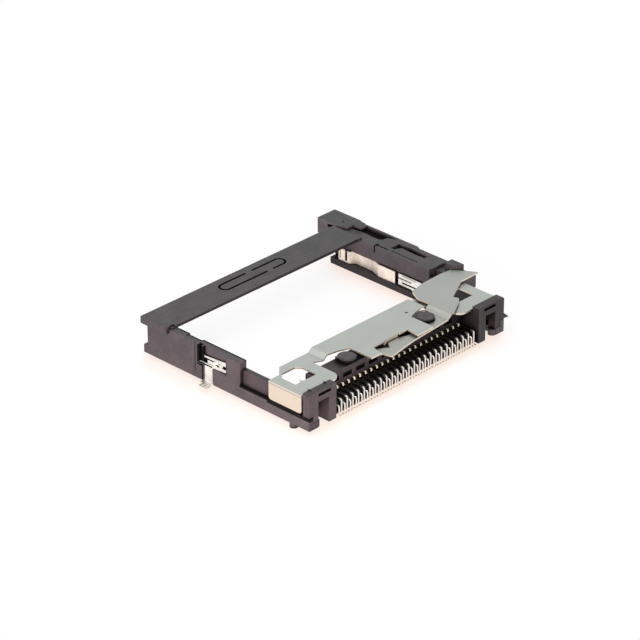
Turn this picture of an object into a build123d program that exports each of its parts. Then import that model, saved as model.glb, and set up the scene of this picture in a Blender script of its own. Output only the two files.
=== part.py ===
"""CompactFlash card socket: a header with two rows of pins, a frame that guides the card, and a
push rod, a lever and a plate that lift the card off the pins.

Lengths are in millimetres. The origin is on the board under the middle of the header, +X runs
along the contact rows, +Y towards the card's entry and +Z up."""
import os

from build123d import *

# Card and the room it slides in
card_edge = 6.16
card_gap = 0.1
neck_inset = 0.57
ledge_reach = 1.15
ledge_top = 1.15
groove_top = 3.4

# Contacts
pitch = 1.27
per_row = 25
row_pitch = 1.27
row_low_z = 1.315
pin_side = 0.4
pin_reach = 4.0
pin_taper = 0.7
tip_side = 0.16
tail_width = 0.28
tail_thick = 0.2
tail_bend = 0.28
tail_back = 3.0
tail_stagger = 0.1
foot_length = 0.5
run_low_z = 1.6
run_high_z = 2.45
shoulder_depth = 0.3

# Header moulding
body_end = 1.16
wall_back = 0.2
wall_thick = 1.4
header_top = 5.2
shelf_bottom = 3.9
shelf_depth = 3.0
shelf_step = 0.3
shelf_step_half = 8.4
recess_width = 2.0
recess_height = 0.8
recess_depth = 0.6
recess_bottom = 3.48
recess_pitch = 2.9
recess_count = 10
comb_base_top = 1.0
comb_reach = 2.8
fin_thick = 0.25
fin_top = 2.1
fin_round = 0.75
end_back = -3.4
end_wall = 1.45
end_top = 6.2
end_chamfer = 0.3
leg_width = 1.6
arch_width = 2.35
leg_depth = 2.6
arch_top = 4.4
slot_length = 2.75
slot_height = 0.5
slot_middle_z = 5.55
web_bottom = 1.2
web_front = 0.9
side_arm_thick = 0.35
side_arm_bottom = 2.3
side_arm_top = 4.85
side_lip_bottom = 3.7
side_arm_front = 11.4
boss_x = 8.97
boss_y = 1.45
boss_shaft_r = 0.9
boss_head_r = 1.54
boss_head_thick = 0.42

# Guide frame moulding
rail_top = 6.2
rail_front = 11.5
left_wall = 0.9
left_back = 32.2
frame_back = 33.1
lip_height = 1.4
bar_front = 26.9
bar_top = 6.65
bar_thick = 1.2
bar_lip = 0.55
bar_step = 0.25
bar_left = 23.0
bar_right = 21.1
bar_mark_left = -7.9
bar_mark_right = 6.7
bar_mark_front = 29.3
bar_mark_back = 31.65
mark_width = 0.34
mark_depth = 0.3
arm_back = -3.45
arm_low_top = 1.15
arm_high_top = 2.25
arm_end_front = -1.7
arm_gap = 0.05
lug_r = 0.7
lug_top = 1.0
peg_y = 0.6
peg_r = 0.7
peg_length = 0.95

# Push rod and button in the right rail
rod_width = 2.5
rod_gap = 0.1
rod_bottom = 3.05
rod_height = 2.55
rod_front = 5.55
rod_inner_wall = 1.1
rod_outer_wall = 0.5
horn_inset = 1.0
horn_width = 1.6
horn_front = 7.85
horn_back = 10.5
horn_slope_run = 1.27
horn_slope_rise = 1.13
rod_rib = 0.4
horn_top = 6.9
travel = 3.6
rail_back_right = 31.1
rail_rear_top = 3.7
pocket_wall = 0.22
pocket_floor = 3.97
roof_thick = 0.35
button_left = 21.4
button_width = 4.15
button_bottom = 3.9
button_top = 6.7
button_back = 37.1
button_skirt = 4.1
tongue_left = 23.53
tongue_front = 29.15

# Sheet metal
sheet = 0.3
strip = 0.15
lever_lift = 0.05
plate_lift = 0.1
blade_rise = 0.65
joggle_x = 11.0
joggle_run = 0.75
plate_back = 7.05
plate_front = -1.7
flange_bottom = 2.4
flange_back = 5.3
window_length = 4.6
window_edge = 1.6
window_front = 1.37
window_corner = 1.0
tab_bottom = 2.9
tab_length = 2.25
foot_reach = 1.75
foot_thick = 0.2
leaf_inset = 0.85

# Sizes that follow from the ones above
row_half = pitch * (per_row - 1) / 2
groove_half = row_half + card_edge + card_gap
guide_half = groove_half - neck_inset
ledge_half = groove_half - ledge_reach
body_half = row_half + body_end
leg_inner = body_half + leg_width
leg_outer = leg_inner + arch_width
side_arm_out = groove_half + 0.4
side_lip_in = groove_half - 0.55
arm_in = groove_half - 1.0
arm_high_in = groove_half + 0.05
peg_x = groove_half + 0.1
flange_in = groove_half + 0.55
window_out = flange_in - window_edge
window_in = window_out - window_length
tab_in = window_out - tab_length
row_high_z = row_low_z + row_pitch
wall_front = wall_back + wall_thick
pin_tip_y = wall_front + pin_reach
shelf_front = wall_back + shelf_depth
left_out = groove_half + left_wall
end_half = left_out
channel_in = groove_half + rod_inner_wall
channel_out = channel_in + rod_width + 2 * rod_gap
right_out = channel_out + rod_outer_wall
channel_bottom = rod_bottom - rod_gap
channel_top = rod_bottom + rod_height + rod_gap
rod_in = channel_in + rod_gap
rod_out = rod_in + rod_width
horn_left = rod_in + horn_inset
rod_top = rod_bottom + rod_height
lever_z = header_top + lever_lift
plate_z = header_top + plate_lift
blade_z = plate_z + blade_rise
blade_top = blade_z + sheet
tail_shift = pitch / 4
contact_xs = [pitch * k - row_half for k in range(per_row)]


def block(x0, x1, y0, y1, z0, z1, mode=Mode.ADD):
    """Straight-sided body between two corners, in the part that is being built."""
    with Locations(((x0 + x1) / 2, (y0 + y1) / 2, (z0 + z1) / 2)):
        Box(x1 - x0, y1 - y0, z1 - z0, mode=mode)


def upright(points, z0, z1, mode=Mode.ADD):
    """Outline seen from above, raised from one height to another."""
    with BuildSketch(Plane.XY.offset(z0)) as outline:
        with BuildLine():
            Polyline(*points, close=True)
        make_face()
    extrude(outline.sketch, amount=z1 - z0, mode=mode)


def along_y(points, y0, y1, mode=Mode.ADD):
    """Section in X and Z, drawn out along Y."""
    with BuildSketch(Plane.XZ.offset(-y0)) as section:
        with BuildLine():
            Polyline(*points, close=True)
        make_face()
    extrude(section.sketch, amount=-(y1 - y0), mode=mode)


# Header housing. The wall carries the pins, the shelf over it carries the lever and the plate.
arm_y = end_back + end_wall
with BuildPart() as header_housing:
    with BuildSketch(Plane.YZ):
        with BuildLine():
            Polyline((wall_back, 0), (wall_back, header_top), (shelf_front, header_top),
                     (shelf_front, shelf_bottom + 0.35), (shelf_front - 0.35, shelf_bottom),
                     (wall_front, shelf_bottom), (wall_front, 0), close=True)
        make_face()
    extrude(amount=body_half, both=True)
    block(-shelf_step_half, shelf_step_half, shelf_front, shelf_front + shelf_step, shelf_bottom + 0.35, header_top)

    # Right end block with its arch, then the same on the left
    along_y([(body_half, 0), (leg_inner, 0), (leg_inner, arch_top), (leg_outer, arch_top),
             (leg_outer, arm_low_top), (arm_high_in - arm_gap, arm_low_top), (arm_high_in - arm_gap, side_arm_bottom),
             (end_half, side_arm_bottom), (end_half, end_top - end_chamfer), (end_half - end_chamfer, end_top),
             (body_half, end_top)], end_back, arm_y)
    block(body_half, leg_inner, arm_y, wall_back, 0, header_top)
    block(leg_inner, leg_outer, end_back + leg_depth, web_front, web_bottom, header_top)
    block(body_half, leg_inner, wall_back, web_front, 0, header_top)
    block(leg_outer, side_arm_out, arm_end_front, web_front, side_arm_bottom, header_top)
    block(leg_inner, leg_outer, arm_y, end_back + leg_depth, arch_top, header_top)
    block(leg_outer, side_arm_out - side_arm_thick, arm_y, arm_end_front, side_arm_bottom, header_top)
    # Side arm, an angle in section
    along_y([(side_arm_out, side_arm_bottom), (side_arm_out, side_arm_top), (side_lip_in, side_arm_top),
             (side_lip_in, side_lip_bottom), (side_arm_out - side_arm_thick, side_lip_bottom),
             (side_arm_out - side_arm_thick, side_arm_bottom)], arm_end_front, side_arm_front)
    # Slot above the arch
    slot_x = leg_inner + 0.95
    with BuildSketch(Plane.XZ.offset(-end_back)):
        with Locations((slot_x, slot_middle_z)):
            Rectangle(slot_length, slot_height)
    extrude(amount=-0.9, mode=Mode.SUBTRACT)
    # Headed boss
    with BuildSketch(Plane.XY.offset(header_top)):
        with Locations((boss_x, boss_y)):
            Circle(boss_shaft_r)
    extrude(amount=lever_lift * 2 + sheet)
    with BuildSketch(Plane.XY.offset(lever_z + sheet + lever_lift)):
        with Locations((boss_x, boss_y)):
            Circle(boss_head_r)
        with Locations((boss_x + boss_head_r * 0.8, boss_y + boss_head_r * 0.55)):
            Rectangle(0.7, 0.55, rotation=35)
    extrude(amount=boss_head_thick)
    mirror(about=Plane.YZ)

    # The right end has a small snap point on its side, and the left has two nubs on its top
    along_y([(end_half - 0.1, side_arm_bottom), (end_half + 1.3, side_arm_bottom - 0.15), (end_half, 3.25),
             (end_half - 0.1, 3.25)], end_back, end_back + 0.9)
    for nub_x in (-21.05, -17.7):
        block(nub_x - 0.2, nub_x + 0.2, arm_y - 0.35, arm_y, end_top, end_top + 0.17)

    # Recesses along the back of the wall
    with BuildSketch(Plane.XZ.offset(-wall_back)):
        with Locations((0, recess_bottom + recess_height / 2)):
            with GridLocations(recess_pitch, 1, recess_count, 1):
                Rectangle(recess_width, recess_height)
    extrude(amount=-recess_depth, mode=Mode.SUBTRACT)

    # Comb that spaces the tails
    comb_back = wall_back - comb_reach
    block(-body_half, body_half, comb_back, wall_back, 0, comb_base_top)
    fin_back = comb_back - 0.05
    fin_planes = [Plane.YZ.offset(pitch / 2 * (k - per_row)) for k in range(2 * per_row + 1)]
    with BuildSketch(*fin_planes):
        with BuildLine():
            Polyline((fin_back + fin_round, fin_top), (-0.9, fin_top), (-0.5, comb_base_top - 0.1),
                     (-0.5, 0.4), (fin_back, 0.4), (fin_back, fin_top - fin_round),
                     (fin_back + 0.13 * fin_round, fin_top - 0.5 * fin_round),
                     (fin_back + 0.5 * fin_round, fin_top - 0.13 * fin_round), close=True)
        make_face()
    extrude(amount=fin_thick / 2, both=True)

    # Holes that the pins fill
    with BuildSketch(Plane.XZ.offset(-wall_back)):
        with Locations((0, (row_low_z + row_high_z) / 2)):
            with GridLocations(pitch, row_pitch, per_row, 2):
                Rectangle(pin_side, pin_side)
    extrude(amount=-wall_thick, mode=Mode.SUBTRACT)
header_housing.part.label = "header_housing"

# Guide frame
with BuildPart() as guide_frame:
    along_y([(-left_out, 0), (-left_out, rail_top), (-guide_half, rail_top), (-guide_half, groove_top),
             (-groove_half, groove_top), (-groove_half, ledge_top), (-ledge_half, ledge_top),
             (-ledge_half, 0)], rail_front, left_back)
    along_y([(-left_out, 0), (-left_out, lip_height), (-groove_half, lip_height), (-groove_half, ledge_top),
             (-ledge_half, ledge_top), (-ledge_half, 0)], left_back, frame_back)
    along_y([(right_out, 0), (right_out, rail_top), (guide_half, rail_top), (guide_half, groove_top),
             (groove_half, groove_top), (groove_half, ledge_top), (ledge_half, ledge_top),
             (ledge_half, 0)], rail_front, rail_back_right)
    along_y([(right_out, 0), (right_out, rail_rear_top), (guide_half, rail_rear_top), (guide_half, groove_top),
             (groove_half, groove_top), (groove_half, ledge_top), (ledge_half, ledge_top),
             (ledge_half, 0)], rail_back_right, frame_back)

    # Channel of the push rod, and the wider pocket behind it that the button enters
    block(channel_in, channel_out, rail_front, rail_back_right, channel_bottom, channel_top, Mode.SUBTRACT)
    pocket_front = rail_back_right - travel - 0.2
    pocket_top = rail_top - roof_thick
    block(guide_half + pocket_wall, channel_out, pocket_front, rail_back_right,
          pocket_floor, pocket_top, Mode.SUBTRACT)
    # Openings in the right rail's top, a slit beside them and a hooked one on its inner edge
    upright([(22.95, rail_back_right), (23.1, 30.0), (23.35, 28.8), (23.15, 24.9), (23.45, 24.35),
             (24.65, 24.1), (24.95, 23.3), (channel_out, 22.4), (channel_out, rail_back_right)],
            channel_top, rail_top, Mode.SUBTRACT)
    upright([(22.35, 21.3), (24.35, 21.3), (24.55, 18.8), (24.3, 14.85), (23.45, 14.85), (23.35, 17.1),
             (23.55, 19.95), (22.35, 20.6)], channel_top, rail_top, Mode.SUBTRACT)
    block(21.52, 21.72, 14.8, 20.5, rail_top - 0.6, rail_top, Mode.SUBTRACT)
    upright([(guide_half, 23.55), (guide_half, 23.85), (21.7, 23.85), (21.7, 21.15), (21.4, 21.15),
             (21.4, 23.55)], 5.0, rail_top, Mode.SUBTRACT)
    # The outer wall's top is set in over its front half
    upright([(right_out - 0.4, rail_front), (right_out, rail_front), (right_out, 18.4),
             (right_out - 0.4, 17.6)], channel_top, rail_top, Mode.SUBTRACT)

    # Crossbar, thin between the rails, with an open racetrack line in its top
    bar_left_in = left_out - 0.3
    bar_under = bar_top - bar_lip
    block(-bar_left_in, bar_right, bar_front, frame_back, bar_under, bar_top)
    block(bar_right, bar_right + 0.2, bar_front, pocket_front - 0.1, rail_top, bar_top)
    block(-bar_left, -bar_left_in, bar_front + 0.5, frame_back, bar_top - bar_thick, bar_top)
    block(-bar_left_in, -guide_half - 0.35, bar_front, bar_front + 0.55, bar_top - bar_step, bar_top, Mode.SUBTRACT)
    block(guide_half, guide_half + pocket_wall, rail_back_right, frame_back, groove_top, bar_under)
    mark_x = (bar_mark_left + bar_mark_right) / 2
    mark_y = (bar_mark_front + bar_mark_back) / 2
    mark_wide = bar_mark_right - bar_mark_left
    mark_deep = bar_mark_back - bar_mark_front
    with BuildSketch(Plane.XY.offset(bar_top - mark_depth)):
        with Locations((mark_x, mark_y)):
            SlotOverall(mark_wide, mark_deep)
            SlotOverall(mark_wide - 2 * mark_width, mark_deep - 2 * mark_width, mode=Mode.SUBTRACT)
        with Locations((-0.5, bar_mark_back)):
            Rectangle(1.4, 2 * mark_width + 0.1, mode=Mode.SUBTRACT)
        with Locations((2.45, bar_mark_front)):
            Rectangle(1.3, 2 * mark_width + 0.1, mode=Mode.SUBTRACT)
    extrude(amount=mark_depth, mode=Mode.SUBTRACT)

    # Windows and steps of the left rail's outer side, and a hooked notch in its inner top edge
    block(-left_out, -groove_half + 0.01, 14.45, 19.5, 2.9, 4.7, Mode.SUBTRACT)
    block(-left_out, -left_out + 0.4, 14.5, 19.6, 4.7, rail_top, Mode.SUBTRACT)
    block(-left_out, -left_out + 0.55, 19.8, 20.65, 3.5, rail_top, Mode.SUBTRACT)
    block(-left_out, -left_out + 0.55, 19.5, 20.6, 3.1, 3.5, Mode.SUBTRACT)
    block(-left_out, -groove_half + 0.01, 17.45, 19.5, 0, 2.9, Mode.SUBTRACT)
    block(-left_out, -left_out + 0.12, 21.35, 21.5, 1.1, rail_top, Mode.SUBTRACT)
    upright([(-guide_half, 20.9), (-guide_half, 23.95), (-guide_half - 0.97, 23.95), (-guide_half - 0.97, 23.65),
             (-guide_half - 0.32, 23.65), (-guide_half - 0.32, 20.9)], 5.2, rail_top, Mode.SUBTRACT)

    # The ledges slope down where the card enters
    for x0, x1 in ((-groove_half, -ledge_half), (ledge_half, groove_half)):
        with BuildSketch(Plane.YZ.offset(x0)) as lead_in:
            with BuildLine():
                Polyline((frame_back - 1.6, ledge_top), (frame_back, 0.3), (frame_back, ledge_top), close=True)
            make_face()
        extrude(lead_in.sketch, amount=x1 - x0, mode=Mode.SUBTRACT)

    # Low arms under the header's ends, each with a lug and a locating peg
    for side in (-1, 1):
        along_y([(side * arm_in, 0), (side * left_out, 0), (side * left_out, arm_high_top),
                 (side * arm_high_in, arm_high_top), (side * arm_high_in, arm_low_top),
                 (side * arm_in, arm_low_top)], arm_back, rail_front)
        with BuildSketch(Plane.XY):
            with Locations((side * (arm_in - 0.1), arm_back + lug_r + 0.05)):
                Circle(lug_r)
        extrude(amount=lug_top)
        with BuildSketch(Plane.XY):
            with Locations((side * peg_x, peg_y)):
                Circle(peg_r)
        extrude(amount=-peg_length)
guide_frame.part.label = "guide_frame"

# Push button: a finger block, a thin cap with a tongue that rides over the rail's top, and a body
# under it that goes into the rail
button_front = rail_back_right - 0.1
button_right = button_left + button_width
block_front = rail_back_right + travel + 0.1
cap_bottom = rail_top + 0.1
body_top = pocket_top - rod_gap
with BuildPart() as push_button:
    block(button_left, button_right, block_front, button_back, button_bottom, button_top)
    upright([(button_left, block_front), (button_left + 0.6, rail_back_right - 0.15),
             (tongue_left, rail_back_right - 0.15), (tongue_left, tongue_front), (24.75, tongue_front),
             (channel_out, tongue_front + 0.75), (channel_out, rail_back_right - 0.4),
             (button_right, rail_back_right + 0.1), (button_right, block_front)], cap_bottom, button_top)
    block(button_left, rod_out, button_front, block_front, button_skirt, body_top)
    block(23.45, rod_out, button_front + 0.2, block_front, body_top, cap_bottom)
    # Gate mark in the top
    with BuildSketch(Plane.XY.offset(button_top)):
        with Locations((23.2, 32.95)):
            Rectangle(0.5, 0.3, rotation=15)
    extrude(amount=-0.12, mode=Mode.SUBTRACT)
push_button.part.label = "push_button"

# Push rod, with a horn whose sloped face meets the lever's wing
horn_right = horn_left + horn_width
with BuildPart() as push_rod:
    block(rod_in, rod_out, rod_front, button_front, rod_bottom, rod_top)
    chamfer(push_rod.edges().filter_by(Axis.Z).group_by(Axis.Y)[0], 0.3)
    upright([(horn_left, horn_front + horn_slope_rise), (horn_left + horn_slope_run, horn_front),
             (horn_right, horn_front), (horn_right, horn_back), (horn_left, horn_back)], rod_top - 0.1, horn_top)
    block(rod_out - 0.31, channel_out + rod_rib, rod_front, horn_front + 1.2, rod_bottom + rod_rib, rod_top)
push_rod.part.label = "push_rod"

# Eject lever, drawn from its pivot: flat under the plate, stepped up to a wing over the plate's end
step_x = 2.43
step_run = 0.75
nose_y = -1.05
pivot_gap = 0.08
with BuildPart() as eject_lever:
    with BuildSketch(Plane((boss_x, boss_y, lever_z))):
        with BuildLine():
            Polyline((-12.95, -2.75), (-12.46, -4.41), (-6.28, -3.37), (step_x, -2.7), (step_x, 2.15),
                     (-0.37, 1.6), (-2.77, 0.45), (-5.51, -1.82), (-7.31, nose_y - 0.08), (-7.53, nose_y),
                     (-9.82, nose_y - 0.06), (-10.79, -2.44), close=True)
        make_face()
        Circle(boss_shaft_r + pivot_gap, mode=Mode.SUBTRACT)
    extrude(amount=sheet)
    with BuildSketch(Plane(origin=(boss_x, boss_y - 2.7, 0), x_dir=(1, 0, 0), z_dir=(0, -1, 0))):
        with BuildLine():
            Polyline((step_x - 0.1, lever_z), (step_x, lever_z), (step_x + step_run, blade_z),
                     (step_x + step_run + 0.1, blade_z), (step_x + step_run + 0.1, blade_top),
                     (step_x + step_run - 0.1, blade_top), (step_x - 0.1, lever_z + sheet), close=True)
        make_face()
    extrude(amount=-4.85)
    wing_x = step_x + step_run
    wing_out = horn_left - boss_x
    with BuildSketch(Plane((boss_x, boss_y, blade_z))):
        with BuildLine():
            Polyline((wing_x, -2.7), (3.94, -2.58), (7.25, -0.67), (8.01, 0.01), (7.6, 0.93),
                     (wing_out - 2.14, 3.68), (wing_out + 2.11, 3.79), (wing_out + 0.71, 6.01),
                     (wing_out - 0.51, 7.53), (wing_out - 2.68, 7.75), (7.82, 7.62), (5.04, 7.03),
                     (4.37, 6.73), (3.22, 4.49), (3.43, 2.15), (wing_x, 2.15), close=True)
        make_face()
    extrude(amount=sheet)
eject_lever.part.label = "eject_lever"

# Eject plate: lowered ends with a window and a turned-down flange, and a raised blade between them
plate_top = plate_z + sheet
flange_out = flange_in + sheet
low_x = joggle_x + joggle_run
lip_front = boss_y + nose_y + rod_gap
with BuildPart() as eject_plate:
    with BuildSketch(Plane.XY.offset(plate_z)):
        with BuildLine():
            Polyline((low_x, 3.78), (low_x + 0.35, 3.83), (low_x + 1.65, 4.5), (low_x + 1.85, 4.2),
                     (low_x + 1.85, plate_front),
                     (flange_out, plate_front), (flange_out, flange_back), (flange_out - 2.32, flange_back),
                     (flange_out - 4.11, plate_back), (low_x, plate_back), close=True)
        make_face()
        with BuildLine():
            Polyline((window_in, window_front), (window_out, window_front),
                     (window_out, flange_back - window_corner), (window_out - window_corner, flange_back),
                     (window_in + 0.8, flange_back), (window_in, flange_back - 0.8), close=True)
        make_face(mode=Mode.SUBTRACT)
    extrude(amount=sheet)
    fillet(eject_plate.edges().filter_by(Axis.Z).group_by(Axis.Y)[0].sort_by(Axis.X)[0], 1.5)
    with BuildSketch(Plane.YZ.offset(flange_in)):
        with BuildLine():
            Polyline((plate_front, plate_top), (plate_front, flange_bottom), (flange_back, flange_bottom),
                     (flange_back, plate_top), close=True)
        make_face()
        fillet(vertices().group_by(Axis.Y)[0], 0.5)
    extrude(amount=sheet)
    block(tab_in, window_out, window_front - sheet, window_front, tab_bottom, plate_z)
    with BuildSketch(Plane.XZ.offset(-plate_back)):
        with BuildLine():
            Polyline((joggle_x - 0.1, blade_top), (joggle_x + 0.08, blade_top), (low_x + 0.08, plate_top),
                     (low_x + 0.08, plate_z), (low_x, plate_z), (joggle_x, blade_z), (joggle_x - 0.1, blade_z),
                     close=True)
        make_face()
    extrude(amount=plate_back - 3.78)
    mirror(about=Plane.YZ)
    with BuildSketch(Plane.XY.offset(blade_z)):
        with BuildLine():
            Polyline((-joggle_x, plate_back), (joggle_x, plate_back), (joggle_x, 3.78), (8.7, 3.35), (7.05, 2.7),
                     (7.05, -2.0), (3.33, -2.17), (3.59, 0.3), (1.7, 0.3), (1.7, lip_front), (-1.7, lip_front),
                     (-1.7, 0.3), (-4.39, 0.3), (-4.94, -1.98), (-7.05, -1.97), (-7.05, 2.7), (-8.7, 3.35),
                     (-joggle_x, 3.78), close=True)
        make_face()
        with Locations((7.56, 4.16)):
            Circle(0.27, mode=Mode.SUBTRACT)
    extrude(amount=sheet)
    # Lip that the lever's nose pushes
    block(-1.6, 1.6, lip_front, lip_front + sheet, plate_z, blade_z)
eject_plate.part.label = "eject_plate"

# Ground clip of the left rail: a tab with a comb-like foot, and a bowed blade in the rail's window
tab_x = -left_out
foot_out = tab_x - foot_reach
foot_front = 17.0
foot_back = 18.85
with BuildPart() as left_ground_clip:
    block(tab_x - 0.25, tab_x, 17.1, 18.45, foot_thick, 4.0)
    block(foot_out, tab_x, foot_front, foot_back, 0, foot_thick)
    for slot_y in (foot_front + 0.55, foot_back - 0.55):
        block(foot_out, foot_out + 1.05, slot_y - 0.12, slot_y + 0.12, 0, foot_thick, Mode.SUBTRACT)
    block(tab_x - 0.25, -groove_half - 0.1, 17.3, 18.3, 3.8, 4.0)
    with BuildSketch(Plane.XY.offset(3.05)):
        with BuildLine():
            Polyline((tab_x + 0.4, 14.75), (-groove_half - 0.12, 16.4), (-groove_half - 0.12, 17.7),
                     (tab_x + 0.4, 19.25))
        trace(line_width=strip)
    extrude(amount=1.45)
    with BuildSketch(Plane.YZ.offset(-groove_half - 0.3)):
        with Locations((17.05, 3.5)):
            SlotOverall(1.0, 0.35)
    extrude(amount=0.4, mode=Mode.SUBTRACT)
left_ground_clip.part.label = "left_ground_clip"

# Leaf of the right rail, bent out to the groove's wall in its middle, and a short strip behind it
leaf_x = groove_half - leaf_inset
leaf_wall_x = groove_half - strip / 2
leaf_height = groove_top - ledge_top - 0.05
leaf_front = 18.7
leaf_back = 29.5
back_front = 30.0
back_end = 31.45
with BuildPart() as right_ground_spring:
    with BuildSketch(Plane.XY.offset(ledge_top)):
        with BuildLine():
            Polyline((leaf_x, leaf_front), (leaf_x, leaf_front + 3.7), (leaf_wall_x, leaf_front + 5.9),
                     (leaf_wall_x, leaf_back - 1.1), (leaf_x, leaf_back - 0.5), (leaf_x, leaf_back))
        trace(line_width=strip)
    extrude(amount=leaf_height)
    block(leaf_x - strip / 2, leaf_x + strip / 2, back_front, back_end, ledge_top, ledge_top + leaf_height)
    block(leaf_x - strip / 2, leaf_x + strip / 2, back_end - 0.45, back_end - 0.25, ledge_top + 0.4,
          ledge_top + leaf_height - 0.4, Mode.SUBTRACT)
    block(leaf_x - strip / 2, leaf_x + strip / 2, leaf_back - 0.1, back_front + 0.1, ledge_top, ledge_top + 0.3)
right_ground_spring.part.label = "right_ground_spring"

# Short clip in front of it, with a thick and a thin slit
clip_front = 12.8
clip_back = 17.9
clip_middle = (clip_front + clip_back) / 2
with BuildPart() as right_ground_clip:
    with BuildSketch(Plane.YZ.offset(leaf_x - strip / 2)):
        with Locations((clip_middle, ledge_top + leaf_height / 2)):
            Rectangle(clip_back - clip_front, leaf_height)
        with Locations((clip_middle + 0.2, ledge_top + 0.75)):
            Rectangle(3.1, 0.3, mode=Mode.SUBTRACT)
        with Locations((clip_middle + 0.2, ledge_top + leaf_height - 0.2)):
            Rectangle(3.1, 0.12, mode=Mode.SUBTRACT)
    extrude(amount=strip)
right_ground_clip.part.label = "right_ground_clip"


def make_contact(x, pin_z, shift, shoulder, run_z, drop_y):
    """One contact: square pin, shoulder against the wall's back, and a flat tail bent down."""
    back = wall_back - shoulder_depth
    with BuildPart() as piece:
        block(x - pin_side / 2, x + pin_side / 2, back, pin_tip_y - pin_taper,
              pin_z - pin_side / 2, pin_z + pin_side / 2)
        for y, side in ((pin_tip_y - pin_taper, pin_side), (pin_tip_y, tip_side)):
            with BuildSketch(Plane.XZ.offset(-y)):
                with Locations((x, pin_z)):
                    Rectangle(side, side)
        loft()
        block(x + shoulder[0], x + shoulder[1], back, wall_back, min(pin_z, run_z - tail_thick / 2),
              run_z + tail_thick / 2)
        foot = drop_y + foot_length + tail_stagger
        foot_z = tail_thick / 2
        bend_in = 0.293 * tail_bend
        with BuildSketch(Plane.YZ.offset(x + shift)):
            with BuildLine():
                Polyline((back + 0.1, run_z), (-drop_y + tail_bend, run_z), (-drop_y + bend_in, run_z - bend_in),
                         (-drop_y, run_z - tail_bend), (-drop_y, foot_z + tail_bend),
                         (-drop_y - bend_in, foot_z + bend_in), (-drop_y - tail_bend, foot_z), (-foot, foot_z))
            trace(line_width=tail_thick)
        extrude(amount=tail_width / 2, both=True)
    return piece.part


half_tail = tail_width / 2
contacts = []
for number, x in enumerate(contact_xs):
    lower = make_contact(x, row_low_z, -tail_shift, (-tail_shift - half_tail, tail_shift + half_tail),
                         run_low_z, tail_back + tail_stagger)
    upper = make_contact(x, row_high_z, tail_shift, (-pin_side / 2, tail_shift + half_tail),
                         run_high_z, tail_back)
    for offset, piece in ((1, lower), (2, upper)):
        piece.label = f"contact_{2 * number + offset:02d}"
        contacts.append(piece)

os.makedirs("parts", exist_ok=True)
pieces = [header_housing.part, guide_frame.part, push_button.part, push_rod.part, eject_lever.part,
          eject_plate.part, left_ground_clip.part, right_ground_spring.part, right_ground_clip.part]
for piece in pieces + contacts:
    export_step(piece, f"parts/{piece.label}.step")
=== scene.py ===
"""Finishes, moulding marks, lamps, floor and camera of a card socket with an ejector.

Lengths are in metres, in the frame of the solids: the card slides along Y, the two rails lie
along Y, the contacts stand in a row along X, and Z is up from the board.
"""

import math

import bpy
import numpy as np
from mathutils import Matrix, Vector


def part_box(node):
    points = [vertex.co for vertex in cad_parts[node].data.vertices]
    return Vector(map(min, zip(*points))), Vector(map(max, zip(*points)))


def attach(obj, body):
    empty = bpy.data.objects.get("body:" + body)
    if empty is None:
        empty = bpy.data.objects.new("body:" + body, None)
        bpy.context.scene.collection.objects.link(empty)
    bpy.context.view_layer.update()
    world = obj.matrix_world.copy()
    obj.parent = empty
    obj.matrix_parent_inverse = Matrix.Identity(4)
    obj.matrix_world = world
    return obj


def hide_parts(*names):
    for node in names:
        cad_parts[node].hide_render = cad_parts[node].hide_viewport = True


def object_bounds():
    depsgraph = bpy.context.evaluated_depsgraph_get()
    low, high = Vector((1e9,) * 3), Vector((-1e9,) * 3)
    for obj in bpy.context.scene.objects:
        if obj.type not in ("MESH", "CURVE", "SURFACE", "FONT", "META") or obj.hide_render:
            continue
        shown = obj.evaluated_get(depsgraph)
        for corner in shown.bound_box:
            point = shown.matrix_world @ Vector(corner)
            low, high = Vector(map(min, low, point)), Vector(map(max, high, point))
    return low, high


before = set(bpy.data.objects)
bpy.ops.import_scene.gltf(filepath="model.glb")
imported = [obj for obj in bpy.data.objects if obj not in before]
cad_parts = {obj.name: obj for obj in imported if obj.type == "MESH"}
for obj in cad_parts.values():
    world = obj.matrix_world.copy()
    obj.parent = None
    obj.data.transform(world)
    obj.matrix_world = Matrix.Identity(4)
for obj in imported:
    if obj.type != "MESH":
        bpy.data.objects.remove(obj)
solid_box = [list(corner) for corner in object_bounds()]

bl_info = {
    "name": "Card Socket Dressing",
    "version": (1, 0, 0),
    "blender": (4, 5, 0),
    "location": "View3D > Sidebar > Socket",
    "description": "Gives a card socket its plastics, metals, marks, lamps and camera",
    "category": "Object",
}

MM = 0.001

# The pieces of the frame that share a finish
RAIL_PIECES = ("guide_frame",)
HEADER_PIECES = ("header_housing",)
BUTTON_PIECES = ("push_button",)
ROD_PIECES = ("push_rod",)
PLATE_PIECES = ("eject_plate",)
LEVER_PIECES = ("eject_lever",)
CLIP_PIECES = ("left_ground_clip", "right_ground_clip")
SPRING_PIECES = ("right_ground_spring",)
CONTACT_PIECES = tuple(sorted(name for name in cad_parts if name.startswith("contact_")))

# Both rows of contacts taken together stand this far apart along X
CONTACT_STEP = 0.635 * MM
# The middle of the right boss, which the lever turns on. The left boss is its mirror image
BOSS = (8.97 * MM, 1.45 * MM)
# A new sheet that lies in the lever's own is this much thinner, so no two faces coincide
HAIR = 0.002 * MM
# Faces that meet at less than this angle are shaded as one
SMOOTH_ANGLE = math.radians(35.0)

# How dark painted shade in a gap or hollow is, where 1 is black, and how far its border fades
SHADE_DEPTH = 0.92
FADE = 0.05 * MM
# The plain black that painted shade in plastic ends in, the brown of painted shade in gaps
# between metal sheets, and the brown of painted shade and dark reflection on the contacts' runs
BLACK = (0.004, 0.004, 0.004)
SHEET_GAP_SHADE = (0.035, 0.026, 0.024)
CONTACT_RUN_SHADE = (0.035, 0.03, 0.03)
WORN_TIN = (0.92, 0.90, 0.87)

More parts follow.
